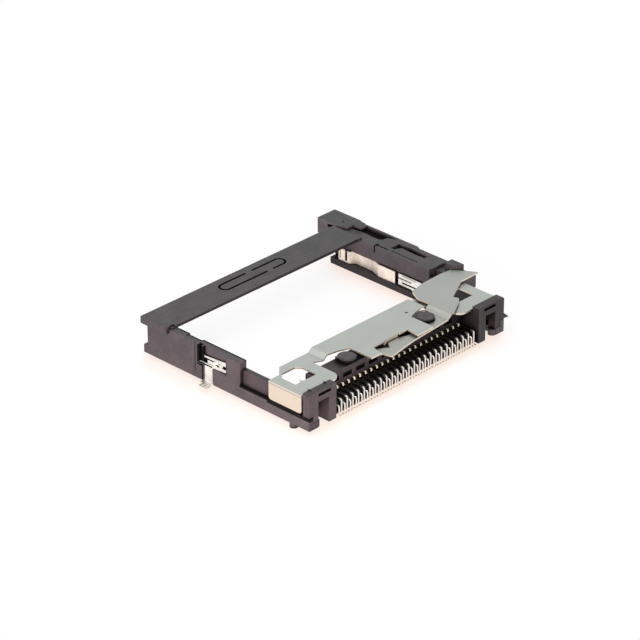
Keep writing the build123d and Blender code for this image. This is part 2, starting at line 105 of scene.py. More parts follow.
# Each lamp's name, place, width, the setting that holds its power, and its colour
LAMPS = (
    ("key_lamp", (-0.20, -0.10, 0.55), 0.45, "key_power", (1.0, 0.99, 0.98)),
    ("side_lamp", (-0.075, -0.010, 0.030), 0.05, "side_power", (1.0, 0.90, 0.84)),
    ("corner_lamp", (-0.045, -0.037, 0.020), 0.03, "corner_power", (1.0, 0.88, 0.80)),
)
# The point that the lamps face
TARGET = (0.0, 0.010, 0.003)
# The radii of the floor's rings, and where round the object its shadow fades out and is full
FLOOR_RINGS = (2.0, 0.5, 0.1, 0.00001)
SHADOW_ENDS = 0.075
SHADOW_FULL = 0.035


# Shader writing


class Value:
    """One output of a material's nodes. Sums and products of values add Math nodes."""

    def __init__(self, shader, socket):
        self.shader = shader
        self.socket = socket

    def _math(self, operation, first, second):
        node = self.shader.node("ShaderNodeMath", {"operation": operation}, {0: first, 1: second})
        return node["Value"]

    def __add__(self, other):
        return self._math("ADD", self, other)

    def __radd__(self, other):
        return self._math("ADD", other, self)

    def __sub__(self, other):
        return self._math("SUBTRACT", self, other)

    def __rsub__(self, other):
        return self._math("SUBTRACT", other, self)

    def __mul__(self, other):
        return self._math("MULTIPLY", self, other)

    def __rmul__(self, other):
        return self._math("MULTIPLY", other, self)

    def __abs__(self):
        return self._math("ABSOLUTE", self, 0.0)


class Made:
    """A node that has been made. Its outputs are read by name or number as values."""

    def __init__(self, shader, node):
        self.shader = shader
        self.made = node

    def __getitem__(self, key):
        return Value(self.shader, self.made.outputs[key])


class Shader:
    """The nodes of one material or world, and the few patterns that the finishes share."""

    def __init__(self, owner):
        owner.use_nodes = True
        self.owner = owner
        self.tree = owner.node_tree
        self.tree.nodes.clear()

    def node(self, kind, settings=None, sockets=None):
        """Makes a node of a type, sets its settings, then its sockets to numbers or links."""
        new = self.tree.nodes.new(kind)
        for key, setting in (settings or {}).items():
            setattr(new, key, setting)
        for key, given in (sockets or {}).items():
            socket = new.inputs[key]
            if isinstance(given, Value):
                self.tree.links.new(given.socket, socket)
            elif socket.type == "RGBA" and len(given) == 3:
                socket.default_value = (*given, 1.0)
            else:
                socket.default_value = given
        return Made(self, new)

    def place(self, stretch=(1.0, 1.0, 1.0)):
        """The point on the piece, in metres, with each axis multiplied by its stretch."""
        point = self.node("ShaderNodeTexCoord")["Object"]
        if stretch == (1.0, 1.0, 1.0):
            return point
        sockets = {"Vector": point, "Scale": stretch}
        return self.node("ShaderNodeMapping", {"vector_type": "POINT"}, sockets)["Vector"]

    def axes(self):
        """The point on the piece, with its three parts read as X, Y and Z."""
        return self.node("ShaderNodeSeparateXYZ", None, {"Vector": self.place()})

    def noise(self, size, stretch=(1.0, 1.0, 1.0), detail=2.0, rough=0.5):
        """A soft random pattern from 0 to 1 whose blots are about size metres across."""
        sockets = {"Vector": self.place(stretch), "Scale": 1.0 / size, "Detail": detail,
                   "Roughness": rough}
        return self.node("ShaderNodeTexNoise", None, sockets)["Fac"]

    def step(self, value, low, high, start=0.0, end=1.0):
        """Goes smoothly from start to end while the value goes from low to high."""
        settings = {"interpolation_type": "SMOOTHSTEP"}
        sockets = {"Value": value, "From Min": low, "From Max": high, "To Min": start, "To Max": end}
        return self.node("ShaderNodeMapRange", settings, sockets)["Result"]

    def mix(self, first, second, factor):
        """The first colour where the factor is 0, the second where it is 1."""
        settings = {"data_type": "RGBA", "clamp_factor": True}
        return self.node("ShaderNodeMix", settings, {0: factor, 6: first, 7: second})[2]

    def tint(self, colour, factor):
        """The colour with each of its parts multiplied by a part of the factor."""
        sockets = {0: colour, 1: factor}
        return self.node("ShaderNodeVectorMath", {"operation": "MULTIPLY"}, sockets)["Vector"]

    def soft_edges(self, radius):
        """The normal with edges rounded off, and how much of an edge a point is, from 0 to 1."""
        rounded = self.node("ShaderNodeBevel", {"samples": 4}, {"Radius": radius})["Normal"]
        true = self.node("ShaderNodeNewGeometry")["Normal"]
        sockets = {0: rounded, 1: true}
        dot = self.node("ShaderNodeVectorMath", {"operation": "DOT_PRODUCT"}, sockets)["Value"]
        return rounded, self.step(1.0 - dot, 0.01, 0.22)

    def upright(self):
        """1 on faces that stand up, 0 on faces that lie level."""
        normal = self.node("ShaderNodeNewGeometry")["True Normal"]
        level = abs(self.node("ShaderNodeSeparateXYZ", None, {"Vector": normal})["Z"])
        return self.step(level, 0.75, 0.30)

    def inside(self, low, high, fade=FADE):
        """1 within a box of points given by two corners, 0 outside it."""
        axes = self.axes()
        whole = 1.0
        for axis, first, last in zip("XYZ", low, high):
            middle = 0.5 * (first + last)
            half = 0.5 * (last - first)
            whole = whole * self.step(abs(axes[axis] - middle), half + fade, half)
        return whole

    def outside(self, boxes):
        """The light left by painted shade: 1 outside the boxes, and 1 less the depth of a box within
        it.
        """
        lit = 1.0
        for low, high, depth in boxes:
            lit = lit * (1.0 - depth * self.inside(low, high))
        return lit

    def loop(self, middle, half, radius, width, breaks):
        """1 along a racetrack line round a middle, 0 away from it and in its breaks along X."""
        axes = self.axes()
        sockets = {0: abs(axes["X"] - middle[0]) - half, 1: 0.0}
        past = self.node("ShaderNodeMath", {"operation": "MAXIMUM"}, sockets)["Value"]
        across = axes["Y"] - middle[1]
        sockets = {0: past * past + across * across}
        away = self.node("ShaderNodeMath", {"operation": "SQRT"}, sockets)["Value"]
        line = self.step(abs(away - radius), 0.5 * width + FADE, 0.5 * width - FADE)
        for start, end, side in breaks:
            centre = 0.5 * (start + end)
            reach = 0.5 * (end - start)
            gap = self.step(abs(axes["X"] - centre), reach + FADE, reach - FADE)
            line = line * (1.0 - gap * self.step(side * across, 0.0, 2.0 * FADE))
        return line

    def crevice(self, reach, local=True):
        """1 deep in a gap or a corner narrower than the reach, 0 in the open."""
        settings = {"samples": 8, "only_local": local}
        open_air = self.node("ShaderNodeAmbientOcclusion", settings, {"Distance": reach})["AO"]
        return self.step(open_air, 0.92, 0.45)

    def seen(self):
        """1 for rays from the camera and for what metal shows, 0 for light on the object."""
        path = self.node("ShaderNodeLightPath")
        either = path["Is Camera Ray"] + path["Is Glossy Ray"] + path["Is Transmission Ray"]
        return self.step(either, 0.0, 1.0)

    def bump(self, height, strength, depth, normal=None):
        """The normal of a surface whose relief is height times depth in metres."""
        sockets = {"Height": height, "Strength": strength, "Distance": depth}
        if normal is not None:
            sockets["Normal"] = normal
        return self.node("ShaderNodeBump", None, sockets)["Normal"]

    def surface(self, sockets, shade=None):
        """Ends the material in one Principled shader, and in plain black where the shade is 1."""
        shader = self.node("ShaderNodeBsdfPrincipled", None, sockets)["BSDF"]
        if shade is not None:
            black = self.node("ShaderNodeBsdfDiffuse", None, {"Color": BLACK})["BSDF"]
            shader = self.node("ShaderNodeMixShader", None, {0: shade, 1: shader, 2: black})["Shader"]
        self.node("ShaderNodeOutputMaterial", None, {"Surface": shader})


# Settings


def colour_setting(name, description, default, most=1.0):
    """A setting that holds a colour."""
    return bpy.props.FloatVectorProperty(name=name, description=description, default=default,
                                         subtype="COLOR", size=3, min=0.0, max=most)


def length_setting(name, description, default):
    """A setting that holds a length."""
    return bpy.props.FloatProperty(name=name, description=description, default=default,
                                   subtype="DISTANCE", unit="LENGTH", min=0.0)


def light_setting(name, description, default):
    """A setting that holds how bright a light is."""
    return bpy.props.FloatProperty(name=name, description=description, default=default, min=0.0)


class PlasticSettings(bpy.types.PropertyGroup):
    """Colours and grain of the moulded pieces."""

    frame_colour: colour_setting(
        "Guide frame", "Colour of the rails and the crossbar", (0.034, 0.031, 0.034))
    header_colour: colour_setting(
        "Header", "Colour of the header that holds the contacts", (0.019, 0.0155, 0.0172))
    button_colour: colour_setting(
        "Button", "Colour of the push button and the rod", (0.032, 0.030, 0.033))
    rub_colour: colour_setting(
        "Rubbed edges", "Colour of edges that handling has rubbed", (0.15, 0.14, 0.14))
    # Painted light: upright faces multiply their colour by this, as the lamps light them more
    side_light_tint: colour_setting(
        "Side tint", "What upright faces multiply the colour by", (1.50, 1.20, 1.28), 4.0)
    grain: length_setting(
        "Grain", "Size of the mould's spark grain", 0.09 * MM)
    edge: length_setting(
        "Edge radius", "Radius that moulding leaves on sharp edges", 0.10 * MM)


class MetalSettings(bpy.types.PropertyGroup):
    """Colours and grain of the sheet metal and the contacts."""

    steel_colour: colour_setting(
        "Steel", "Colour of the eject plate", (0.437, 0.466, 0.437))
    lever_colour: colour_setting(
        "Lever", "Colour of the eject lever", (0.40, 0.415, 0.385))
    tin_colour: colour_setting(
        "Tin", "Colour of the tinned clips and tails", (0.93, 0.89, 0.84))
    spring_colour: colour_setting(
        "Spring", "Colour of the long spring in the right rail", (0.98, 0.87, 0.77))
    gold_colour: colour_setting(
        "Gold", "Colour of the gilt contact tips", (0.95, 0.80, 0.52))
    # Painted highlight: the roots take this pale colour, and are made less metallic, so they show as
    # glints
    root_glint_colour: colour_setting(
        "Roots", "Colour of the contacts where they leave the wall", (1.0, 0.93, 0.78))
    foot_colour: colour_setting(
        "Feet", "Colour of the contacts' flat ends on the board", (0.93, 0.83, 0.72))
    # Painted reflection: the sheet's upright faces take this lighter colour for the bright floor they
    # mirror
    upright_reflection_colour: colour_setting(
        "Cut faces", "Colour of the sheet's bent and cut faces, which stand up", (0.76, 0.65, 0.54))
    # Painted shade: bends and the plate's hole are darkened with this colour
    crease_shade_colour: colour_setting(
        "Creases", "Colour of the line that a bend leaves", (0.36, 0.32, 0.27))
    sheet_edge: length_setting(
        "Edge radius", "Radius that stamping leaves on the sheet's edges", 0.05 * MM)


class DetailSettings(bpy.types.PropertyGroup):
    """Sizes of the pieces that are made here and not taken from the solids."""

    clip_sheet: length_setting(
        "Clip sheet", "Thickness of the ground clip's sheet", 0.15 * MM)
    clip_bow: length_setting(
        "Clip bow", "How far the clip's contact bows into the window", 0.45 * MM)
    head_radius: length_setting(
        "Boss head radius", "Radius of the staked top of each boss", 1.28 * MM)
    head_height: length_setting(
        "Boss head height", "Height of the staked top over the boss", 0.09 * MM)
    web_sheet: length_setting(
        "Lever sheet", "Thickness of the lever's sheet beside its pivot", 0.30 * MM)


class StageSettings(bpy.types.PropertyGroup):
    """Where the camera stands, and how bright the lamps are."""

    eye: bpy.props.FloatVectorProperty(
        name="Camera", description="Place of the camera", subtype="TRANSLATION", unit="LENGTH",
        size=3, default=(-333.38 * MM, -305.60 * MM, 253.17 * MM))
    back: bpy.props.FloatVectorProperty(
        name="Back", description="Direction from the object to the camera", subtype="DIRECTION",
        size=3, default=(-0.63357, -0.61101, 0.47461))
    angle: bpy.props.FloatProperty(
        name="Field of view", description="Angle across the picture", subtype="ANGLE",
        unit="ROTATION", default=math.radians(11.077))
    key_power: light_setting(
        "Key lamp", "Power of the large lamp overhead, in watts", 1.70)
    side_power: light_setting(
        "Side lamp", "Power of the warm lamp at the left, in watts", 0.036)
    corner_power: light_setting(
        "Corner lamp", "Power of the small warm lamp near the left end, in watts", 0.025)
    sky: light_setting(
        "Sky", "Strength of the even light from all round", 0.66)


class SocketSettings(bpy.types.PropertyGroup):
    """All settings of the dressing."""

    plastic: bpy.props.PointerProperty(type=PlasticSettings)
    metal: bpy.props.PointerProperty(type=MetalSettings)
    detail: bpy.props.PointerProperty(type=DetailSettings)
    stage: bpy.props.PointerProperty(type=StageSettings)


# Finishes


def mm_boxes(*boxes, depth=SHADE_DEPTH):
    """Boxes of two corners in millimetres, as metres, each with how dark its painted shade is from 0
    to 1.
    """
    return [(tuple(MM * part for part in low), tuple(MM * part for part in high), depth)
            for low, high in boxes]


def scaled(colour, factor):
    """The colour with each part multiplied by the factor, and at most 1."""
    return tuple(min(1.0, factor * part) for part in colour)


def dress(pieces, material):
    """Puts one material into every slot of the named pieces of the frame."""
    for name in pieces:
        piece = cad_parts[name]
        if not piece.material_slots:
            piece.data.materials.append(material)
        for slot in piece.material_slots:
            slot.material = material


def moulded(name, colour, settings, flow=(0.25, 1.0, 1.0), gloss=0.5, reach=0.55 * MM, local=True,
            sides=None, far_side_light=None, shade_boxes=(), loop=None):
    """Glass-filled black plastic: clouded colour, flow streaks, spark grain, rubbed edges, painted
    light and shade.

    Upright faces are painted lighter by multiplying the colour by sides, and darker by far_side_light
    where it is given at the other end of the row of contacts, which the lamps light less. Gaps
    narrower than the reach are painted dark as shade, and so is all that lies in the shade_boxes and
    along the loop.
    """
    material = bpy.data.materials.new(name)
    shader = Shader(material)
    normal, edge = shader.soft_edges(settings.edge)
    cloud = shader.noise(3.5 * MM, detail=3.0)
    streak = shader.noise(0.5 * MM, stretch=flow, detail=4.0, rough=0.6)
    grain = shader.noise(settings.grain, detail=1.0)
    tone = shader.step(0.55 * cloud + 0.45 * streak, 0.30, 0.70)
    rubbed = edge * shader.step(cloud, 0.30, 0.75, 0.25, 1.0)
    base = shader.mix(scaled(colour, 0.72), scaled(colour, 1.35), tone)
    # Painted light: upright faces are made lighter where the lamps light them, and less so at the far
    # end
    sides = sides or tuple(settings.side_light_tint)
    if far_side_light is not None:
        sides = shader.mix(sides, far_side_light, shader.step(shader.axes()["X"], -12.0 * MM, 14.0 * MM))
    base = shader.mix(base, shader.tint(base, sides), shader.upright())
    base = shader.mix(base, tuple(settings.rub_colour), 0.45 * rubbed)
    # Painted shade in narrow gaps, in the shade boxes and along the racetrack groove
    lit = (1.0 - 0.90 * shader.crevice(reach, local)) * shader.outside(shade_boxes)
    if loop is not None:
        lit = lit * (1.0 - SHADE_DEPTH * shader.loop(*loop))
    shader.surface({
        "Base Color": base,
        "Roughness": 0.50 - 0.10 * streak - 0.10 * rubbed + 0.10 * grain,
        "Specular IOR Level": gloss,
        "Normal": shader.bump(0.7 * grain + 0.3 * streak, 0.30, 0.012 * MM, normal),
    }, 1.0 - lit)
    return material


def rolled(name, colour, settings, roll=(0.06, 1.0, 1.0), crease_shades=()):
    """Matte rolled steel: grain along the roll, faint stains, a painted highlight on the edges, a
    painted reflection on upright faces and painted shade in gaps.

    The crease_shades are boxes painted darker as shade along the bends and inside the plate's hole.
    """
    material = bpy.data.materials.new(name)
    shader = Shader(material)
    normal, edge = shader.soft_edges(settings.sheet_edge)
    cloud = shader.noise(5.0 * MM, detail=3.0)
    grain = shader.noise(0.09 * MM, stretch=roll, detail=3.0, rough=0.65)
    base = shader.mix(scaled(colour, 0.88), scaled(colour, 1.10), 0.6 * cloud + 0.4 * grain)
    # Painted reflection on upright faces
    base = shader.mix(base, tuple(settings.upright_reflection_colour), 0.9 * shader.upright())
    # Painted highlight: rounded edges are made lighter
    base = shader.mix(base, scaled(colour, 1.55), 0.7 * edge)
    # Painted shade along the bends and inside the plate's hole
    for low, high, _ in crease_shades:
        line = shader.inside(low, high, 0.08 * MM)
        base = shader.mix(base, tuple(settings.crease_shade_colour), 0.75 * line)
    # Painted shade in gaps between the sheets and where other pieces come close
    base = shader.mix(base, SHEET_GAP_SHADE, 0.85 * shader.crevice(0.45 * MM, False))
    shader.surface({
        "Base Color": base,
        "Metallic": 1.0,
        "Roughness": 0.36 + 0.14 * grain + 0.10 * cloud - 0.10 * edge,
        "Normal": shader.bump(grain, 0.35, 0.006 * MM, normal),
    })
    return material


def tinned(name, colour, settings, rough=0.30, slits=()):
    """Matte tin over sheet: fine crystals, dull patches, bright worn edges and slits painted dark as
    shade.
    """
    material = bpy.data.materials.new(name)
    shader = Shader(material)
    normal, edge = shader.soft_edges(settings.sheet_edge)
    cloud = shader.noise(2.2 * MM, detail=3.0)
    crystal = shader.noise(0.12 * MM, detail=2.0)
    base = shader.mix(scaled(colour, 0.80), colour, shader.step(cloud, 0.30, 0.65))
    base = shader.mix(base, WORN_TIN, 0.5 * edge)
    # Painted shade in the slits
    shader.surface({
        "Base Color": base,
        "Metallic": 1.0,
        "Roughness": rough + 0.16 * cloud + 0.08 * crystal,
        "Normal": shader.bump(crystal, 0.25, 0.006 * MM, normal),
    }, 1.0 - shader.outside(slits) if slits else None)
    return material


def plated(name, settings, tip_from, tip_to):
    """Contact strip: tin on the tail, gold towards the card, with a soft border between.

    Along Y come the foot on the board, the tail, the run between the comb's fins, painted dark as
    shade and dark reflection, and the root at the wall, painted bright as a glint in the middle of
    its width.
    """
    material = bpy.data.materials.new(name)
    shader = Shader(material)
    axes = shader.axes()
    along = axes["Y"]
    cloud = shader.noise(0.9 * MM, detail=3.0)
    drawn = shader.noise(0.06 * MM, stretch=(1.0, 0.08, 0.08), detail=2.0)
    border = shader.step(along + (0.4 * MM) * (cloud - 0.5), tip_from, tip_to)
    tin = shader.mix(scaled(settings.tin_colour, 0.78), tuple(settings.tin_colour), cloud)
    gold = shader.mix(scaled(settings.gold_colour, 0.85), tuple(settings.gold_colour), cloud)
    metal = shader.mix(tin, gold, border)
    run_end = -0.36 * MM
    wall = -0.22 * MM
    run = shader.step(along, -2.75 * MM, -2.25 * MM) * shader.step(along, wall, run_end)
    # The distance along X from the nearest contact's middle
    sockets = {0: axes["X"], 1: 0.5 * CONTACT_STEP}
    aside = shader.node("ShaderNodeMath", {"operation": "PINGPONG"}, sockets)["Value"]
    middle = shader.step(aside, 0.20 * MM, 0.13 * MM)
    near_wall = shader.step(along, run_end, wall)
    root = near_wall * middle
    run = run + near_wall * (1.0 - middle)
    foot = shader.step(along, -3.05 * MM, -3.35 * MM)
    # Painted glint on the roots
    metal = shader.mix(metal, tuple(settings.root_glint_colour), root)
    metal = shader.mix(metal, tuple(settings.foot_colour), foot)
    shader.surface({
        # Painted shade and dark reflection on the runs
        "Base Color": shader.mix(metal, CONTACT_RUN_SHADE, 0.90 * run),
        "Metallic": 1.0 - 0.85 * root,
        "Roughness": 0.20 + 0.14 * cloud + 0.08 * drawn,
        "Normal": shader.bump(drawn, 0.20, 0.004 * MM),
    })
    return material


# Surfaces


def add_surface(name, grids, body, material):
    """Makes one mesh of grids of points (rows, columns, 3), each with the word for its ends.

    Row i, column j is joined to row i + 1, column j + 1, and the last column to the first. The
    ends are "capped" where a flat face closes the first and the last row, and "open" where
    nothing does. The object sits at the origin, and its place is in its points.
    """
    points = []
    faces = []
    start = 0
    for grid, ends in grids:
        rows, columns, _ = grid.shape
        order = start + np.arange(rows * columns).reshape(rows, columns)
        after = np.roll(order, -1, axis=1)
        quads = np.stack([order[:-1], after[:-1], after[1:], order[1:]], axis=-1)
        faces += quads.reshape(-1, 4).tolist()
        if ends == "capped":
            faces += [order[0, ::-1].tolist(), order[-1].tolist()]
        points += grid.reshape(-1, 3).tolist()
        start += rows * columns
    mesh = bpy.data.meshes.new(name)
    mesh.from_pydata(points, [], faces)
    mesh.validate()
    mesh.materials.append(material)
    mesh.polygons.foreach_set("use_smooth", [True] * len(mesh.polygons))
    mesh.set_sharp_from_angle(angle=SMOOTH_ANGLE)
    piece = bpy.data.objects.new(name, mesh)
    bpy.context.scene.collection.objects.link(piece)
    if body:
        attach(piece, body)
    return piece


def ribbon(path, across, width, thick):
    """A flat strip of sheet: a rectangle carried along a path of points in one plane.

    The rectangle is width long along the direction across and thick along the path's normal,
    which is across x tangent. The tangent at a point is the mean of its two runs' directions.
    """
    path = np.array(path, dtype=float)
    across = np.array(across, dtype=float)
    run = np.diff(path, axis=0)
    run /= np.linalg.norm(run, axis=1)[:, None]
    tangent = np.vstack([run[:1], run[:-1] + run[1:], run[-1:]])
    length = np.linalg.norm(tangent, axis=1)[:, None]
    normal = np.cross(across, tangent / length)
    # On a corner the section leans with the mean direction, so it is stretched to stay as thick
    lean = np.ones(len(path))
    lean[1:-1] = 2.0 / length[1:-1, 0]
    side = 0.5 * width * np.array([-1.0, 1.0, 1.0, -1.0])[None, :, None] * across
    level = 0.5 * thick * np.array([-1.0, -1.0, 1.0, 1.0])[None, :, None]
    return path[:, None, :] + side + level * (normal * lean[:, None])[:, None, :]


def staked_head(centre, radius, height, sides=36):
    """The melted top of a plastic boss: a disc with a rounded rim that is not quite round.

    The rings go from under the rim, out over its edge and in to the middle. A ring's radius is
    radius * share * (1 + 0.04 sin(3 a + 0.5) + 0.03 sin(7 a)) of the angle a, and its height is
    a share of height.
    """
    turn = np.linspace(0.0, 2.0 * math.pi, sides, endpoint=False)[None, :]
    share = np.array([0.90, 1.00, 1.03, 1.00, 0.93, 0.80, 0.45, 0.02])[:, None]
    level = np.array([-0.10, -0.05, 0.30, 0.82, 0.97, 1.00, 0.96, 0.95])[:, None]
    wave = 1.0 + 0.04 * np.sin(3.0 * turn + 0.5) + 0.03 * np.sin(7.0 * turn)
    x = centre[0] + radius * share * wave * np.cos(turn)
    y = centre[1] + radius * share * wave * np.sin(turn)
    z = centre[2] + height * level + 0.0 * turn
    return np.stack([x, y, z], axis=-1)


def flat_web(outline, bottom, thick):
    """A level sheet over an outline of (x, y) points: its rim at two levels."""
    outline = np.array(outline, dtype=float)
    rims = [np.column_stack([outline, np.full(len(outline), level)])
            for level in (bottom, bottom + thick)]
    return np.stack(rims)


def upright_web(outline, left, thick):
    """A sheet that stands across X, over an outline of (y, z) points in millimetres."""
    sheet = flat_web([(y * MM, z * MM) for y, z in outline], left, thick)
    return sheet[..., (2, 0, 1)]


# Operators


class SOCKET_OT_mouldings(bpy.types.Operator):
    """Gives the guide frame, header, button and rod their black plastics"""

    bl_idname = "socket.mouldings"
    bl_label = "Dress the Mouldings"

    def execute(self, context):
        plastic = context.scene.socket.plastic
        # Painted shade in the left rail's recess and the notch at its top, in the slot by the clip's
        # tab and its upper end, in the gap over the low arm, and along the inner edges of the two
        # rails
        shade_boxes = mm_boxes(((-22.8, 19.45, 2.95), (-21.3, 20.92, 6.05)),
                           ((-21.5, 20.70, 5.00), (-20.8, 23.80, 6.40)),
                           ((-22.8, 19.64, 0.20), (-21.3, 19.90, 2.80)),
                           ((-22.8, 19.90, 2.52), (-21.3, 21.00, 2.78)),
                           ((-22.8, -3.60, 1.62), (-20.0, 5.60, 2.50)),
                           ((-22.8, 5.60, 1.98), (-21.0, 11.60, 2.35)),
                           ((-21.2, 8.00, 5.90), (-20.8, 26.0, 6.40)),
                           ((21.25, 23.40, 5.00), (21.95, 23.95, 6.40)))
        # The crossbar's near face, the low lip under the right rail and the low arm's end get
        # less light, and are painted darker as shade
        shade_boxes += mm_boxes(((-21.0, 26.80, 5.80), (20.5, 26.96, 6.56)), depth=0.60)
        shade_boxes += mm_boxes(((19.0, 8.0, -0.50), (22.2, 40.0, 2.20)), depth=0.50)
        shade_boxes += mm_boxes(((-22.8, -3.70, -0.50), (-20.0, -3.30, 1.60)), depth=0.40)
        # The racetrack groove in the crossbar's top, painted dark as shade: its middle, straight
        # half, radius, width and breaks
        loop = ((-0.60 * MM, 30.475 * MM), 6.125 * MM, 1.005 * MM, 0.42 * MM,
                ((-1.2 * MM, 0.2 * MM, 1.0), (1.8 * MM, 3.1 * MM, -1.0)))
        rails = moulded("guide_frame_plastic", tuple(plastic.frame_colour), plastic,
                        reach=0.80 * MM, local=False, shade_boxes=shade_boxes, loop=loop)
        dress(RAIL_PIECES, rails)
        # Painted shade on the sides of the bosses' heads and in the gap beside the plate's left
        # flange
        shade_boxes = mm_boxes(((7.2, -0.3, 5.3), (10.8, 3.3, 5.93)),
                           ((-10.8, -0.3, 5.3), (-7.2, 3.3, 5.93)),
                           ((-22.8, -2.09, 2.2), (-21.3, -1.19, 5.15)))
        # Painted light: the header's upright faces are lighter at the left end and darker at the
        # right
        header = moulded("header_plastic", tuple(plastic.header_colour), plastic, gloss=0.45,
                         reach=1.80 * MM, local=False, sides=(1.9, 1.5, 1.6),
                         far_side_light=(0.75, 0.58, 0.60), shade_boxes=shade_boxes)
        dress(HEADER_PIECES, header)
        along = (1.0, 0.25, 1.0)
        # Painted light: the button's upright faces are made much lighter
        button = moulded("button_plastic", tuple(plastic.button_colour), plastic, along,
                         sides=(3.0, 2.5, 2.55))
        dress(BUTTON_PIECES, button)
        # Painted shade: the rod is darker beyond the open end of its channel, inside the rail
        channel = mm_boxes(((15.0, 11.5, 0.0), (30.0, 80.0, 10.0)))
        rod = moulded("rod_plastic", tuple(plastic.button_colour), plastic, along, shade_boxes=channel)
        dress(ROD_PIECES, rod)
        return {"FINISHED"}


class SOCKET_OT_sheet_metal(bpy.types.Operator):
    """Gives the eject plate and lever rolled steel, and the clips and spring matte tin"""

    bl_idname = "socket.sheet_metal"
    bl_label = "Dress the Sheet Metal"

    def execute(self, context):
        metal = context.scene.socket.metal
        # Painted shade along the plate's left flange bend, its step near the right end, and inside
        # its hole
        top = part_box("eject_plate")[1][2] / MM
        crease_shades = mm_boxes(((-23.0, -5.0, 5.20), (-21.8, 12.0, 5.28)),
                           ((11.99, 4.3, 5.0), (12.09, 8.8, 7.0)),
                           ((7.20, 3.8, 4.5), (7.95, 4.55, top - 0.06)))
        plate = rolled("plate_steel", tuple(metal.steel_colour), metal, crease_shades=crease_shades)
        dress(PLATE_PIECES, plate)
        # Painted shade along the two bends between the lever's levels
        crease_shades = mm_boxes(((12.16, -1.5, 4.5), (12.26, 3.9, 7.0)),
                           ((11.5, -1.5, 4.5), (11.58, 3.2, 7.0)))
        lever = rolled("lever_steel", tuple(metal.lever_colour), metal, (0.5, 0.08, 1.0), crease_shades)
        dress(LEVER_PIECES, lever)
        # Painted shade in the slits between the bars of the right clip
        slits = mm_boxes(((20.5, 15.01, 2.50), (22.5, 17.91, 2.67)),
                         ((20.5, 14.99, 1.01), (22.5, 17.88, 1.41)))
        dress(CLIP_PIECES, tinned("clip_tin", tuple(metal.tin_colour), metal, slits=slits))
        dress(SPRING_PIECES, tinned("spring_tin", tuple(metal.spring_colour), metal, rough=0.42))
        return {"FINISHED"}


class SOCKET_OT_contacts(bpy.types.Operator):
    """Gives all the contacts tinned tails and gilt tips"""

    bl_idname = "socket.contacts"
    bl_label = "Dress the Contacts"

    def execute(self, context):
        metal = context.scene.socket.metal
        dress(CONTACT_PIECES, plated("contact_plating", metal, -0.9 * MM, -0.35 * MM))
        return {"FINISHED"}


class SOCKET_OT_ground_clip(bpy.types.Operator):
    """Makes the left ground clip: two bars, a bowed contact, a tab and a foot with fingers"""

    bl_idname = "socket.ground_clip"
    bl_label = "Make the Ground Clip"

    def execute(self, context):
        settings = context.scene.socket
        thick = settings.detail.clip_sheet
        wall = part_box("header_housing")[0][0]
        foot_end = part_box("left_ground_clip")[0][0]
        face = wall + 0.20 * MM
        # Two bars with an open window and a slit between them, as (y, z) in mm
        upper = [(19.60, 4.26), (19.60, 4.50), (14.72, 4.90), (14.72, 4.20), (17.40, 4.26)]
        lower = [(20.75, 2.80), (20.75, 3.22), (17.40, 3.36), (14.72, 3.62), (14.72, 3.12),
                 (17.60, 2.86)]
        grids = [(upright_web(outline, face - 0.5 * thick, thick), "capped")
                 for outline in (upper, lower)]
        # The contact stands flush between them, then steps in and bows into the window
        bow = settings.detail.clip_bow
        path = [(face, 18.70), (face, 17.50), (face + bow, 17.10), (face + 0.8 * bow, 16.8),
                (face + 0.3 * bow, 16.2), (face + 0.8 * bow, 15.7)]
        contact = [(x, y * MM, 3.72 * MM) for x, y in path]
        grids.append((ribbon(contact, (0.0, 0.0, 1.0), 0.56 * MM, thick), "capped"))
        # The tab goes down the slot, turns out at the board and ends in fingers
        tab = 18.65 * MM
        bend = np.linspace(0.0, 0.5 * math.pi, 5)
        radius = 0.25 * MM
        knee = np.column_stack([face - radius + radius * np.cos(bend), np.full(len(bend), tab),
                                0.5 * thick + radius - radius * np.sin(bend)])
        drop = [(face, tab, 3.10 * MM), *knee.tolist(), (wall - 0.75 * MM, tab, 0.5 * thick)]
        grids.append((ribbon(drop, (0.0, 1.0, 0.0), 1.92 * MM, thick), "capped"))
        for middle in (17.45, 18.10, 18.75):
            finger = [(wall - 0.70 * MM, middle * MM, 0.5 * thick),
                      (foot_end, middle * MM, 0.5 * thick)]
            grids.append((ribbon(finger, (0.0, 1.0, 0.0), 0.40 * MM, thick), "capped"))
        finish = tinned("clip_tin_bent", tuple(settings.metal.tin_colour), settings.metal)
        piece = add_surface("ground_clip", grids, "socket", finish)
        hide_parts("left_ground_clip")
        # The rail is closed behind the clip by a sheet, painted dark all over as shade
        pane = [(14.60, 2.95), (19.45, 2.95), (19.45, 4.66), (14.60, 4.66)]
        liner = upright_web(pane, face + 0.65 * MM, thick)
        plastic = settings.plastic
        dark = mm_boxes(((-22.8, 14.0, 2.0), (-20.0, 20.0, 5.0)))
        finish = moulded("liner_plastic", tuple(plastic.frame_colour), plastic, shade_boxes=dark)
        add_surface("clip_liner", [(liner, "capped")], "socket", finish)
        return {"FINISHED"}


